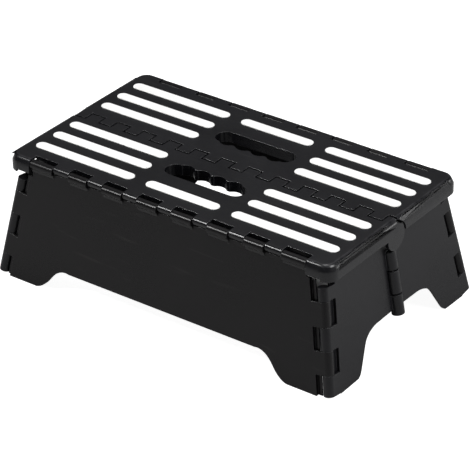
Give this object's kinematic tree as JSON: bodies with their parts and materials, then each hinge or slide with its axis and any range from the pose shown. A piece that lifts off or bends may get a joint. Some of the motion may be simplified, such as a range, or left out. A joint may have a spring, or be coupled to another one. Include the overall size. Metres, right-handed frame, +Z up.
{
  "type": "folding step stool",
  "caption": "Low fold-flat step stool in black plastic: two hinged top halves with hand holes and pale grip strips, sloping side panels and folding end panels.",
  "frame": {"origin": "on the floor, under the middle of the standing surface", "axes": "+X along the length of the stool, +Y from the front side panel to the rear one, +Z up"},
  "size_m": [0.498, 0.2994, 0.1627],
  "materials": {
    "black_plastic": "satin moulded polypropylene with a fine grain",
    "grip_rubber": "soft matt anti-slip strip",
    "pin_steel": "drawn wire"
  },
  "bodies": {
    "top_front": {"top_front": "black_plastic", "grip_front_left_inner": "grip_rubber", "grip_front_right_inner": "grip_rubber", "grip_front_left_mid": "grip_rubber", "grip_front_right_mid": "grip_rubber", "grip_front_left_outer": "grip_rubber", "grip_front_right_outer": "grip_rubber", "grip_front_centre": "grip_rubber", "pin_edge_front": "pin_steel", "pin_centre": "pin_steel"},
    "top_rear": {"top_rear": "black_plastic", "grip_rear_left_inner": "grip_rubber", "grip_rear_right_inner": "grip_rubber", "grip_rear_left_mid": "grip_rubber", "grip_rear_right_mid": "grip_rubber", "grip_rear_left_outer": "grip_rubber", "grip_rear_right_outer": "grip_rubber", "grip_rear_centre": "grip_rubber", "pin_edge_rear": "pin_steel"},
    "side_front": {"side_front": "black_plastic"},
    "side_rear": {"side_rear": "black_plastic"},
    "end_right_front": {"end_right_front": "black_plastic", "pin_corner_right_front": "pin_steel", "pin_fold_right": "pin_steel"},
    "end_right_rear": {"end_right_rear": "black_plastic", "pin_corner_right_rear": "pin_steel"},
    "end_left_front": {"end_left_front": "black_plastic", "pin_corner_left_front": "pin_steel"},
    "end_left_rear": {"end_left_rear": "black_plastic", "pin_corner_left_rear": "pin_steel", "pin_fold_left": "pin_steel"}
  },
  "joints": [
    {"name": "top_fold", "type": "hinge", "parent": "top_front", "child": "top_rear", "pos_m": [0, 0, 0.14], "axis": [-1, 0, 0], "range_deg": [0, 178]},
    {"name": "front_side_hinge", "type": "hinge", "parent": "top_front", "child": "side_front", "pos_m": [0, -0.127, 0.155], "axis": [-1, 0, 0], "range_deg": [0, 82]},
    {"name": "rear_side_hinge", "type": "hinge", "parent": "top_rear", "child": "side_rear", "pos_m": [0, 0.127, 0.155], "axis": [1, 0, 0], "range_deg": [0, 82]},
    {"name": "end_right_rear_hinge", "type": "hinge", "parent": "side_rear", "child": "end_right_rear", "pos_m": [0.2276, 0.13055, 0.082], "axis": [0.1753, 0.1455, -0.9737], "range_deg": [0, 90]},
    {"name": "end_right_front_hinge", "type": "hinge", "parent": "side_front", "child": "end_right_front", "pos_m": [0.2276, -0.13055, 0.082], "axis": [-0.1753, 0.1455, 0.9737], "range_deg": [0, 90]},
    {"name": "end_left_front_hinge", "type": "hinge", "parent": "side_front", "child": "end_left_front", "pos_m": [-0.2276, -0.13055, 0.082], "axis": [-0.1753, -0.1455, -0.9737], "range_deg": [0, 90]},
    {"name": "end_left_rear_hinge", "type": "hinge", "parent": "side_rear", "child": "end_left_rear", "pos_m": [-0.2276, 0.13055, 0.082], "axis": [0.1753, -0.1455, 0.9737], "range_deg": [0, 90]}
  ],
  "couplings": [
    {"joint": "front_side_hinge", "follows": "top_fold", "ratio": 0.45584},
    {"joint": "rear_side_hinge", "follows": "top_fold", "ratio": 0.45584},
    {"joint": "end_right_rear_hinge", "follows": "top_fold", "ratio": 0.4994},
    {"joint": "end_right_front_hinge", "follows": "top_fold", "ratio": 0.4994},
    {"joint": "end_left_front_hinge", "follows": "top_fold", "ratio": 0.4994},
    {"joint": "end_left_rear_hinge", "follows": "top_fold", "ratio": 0.4994}
  ]
}
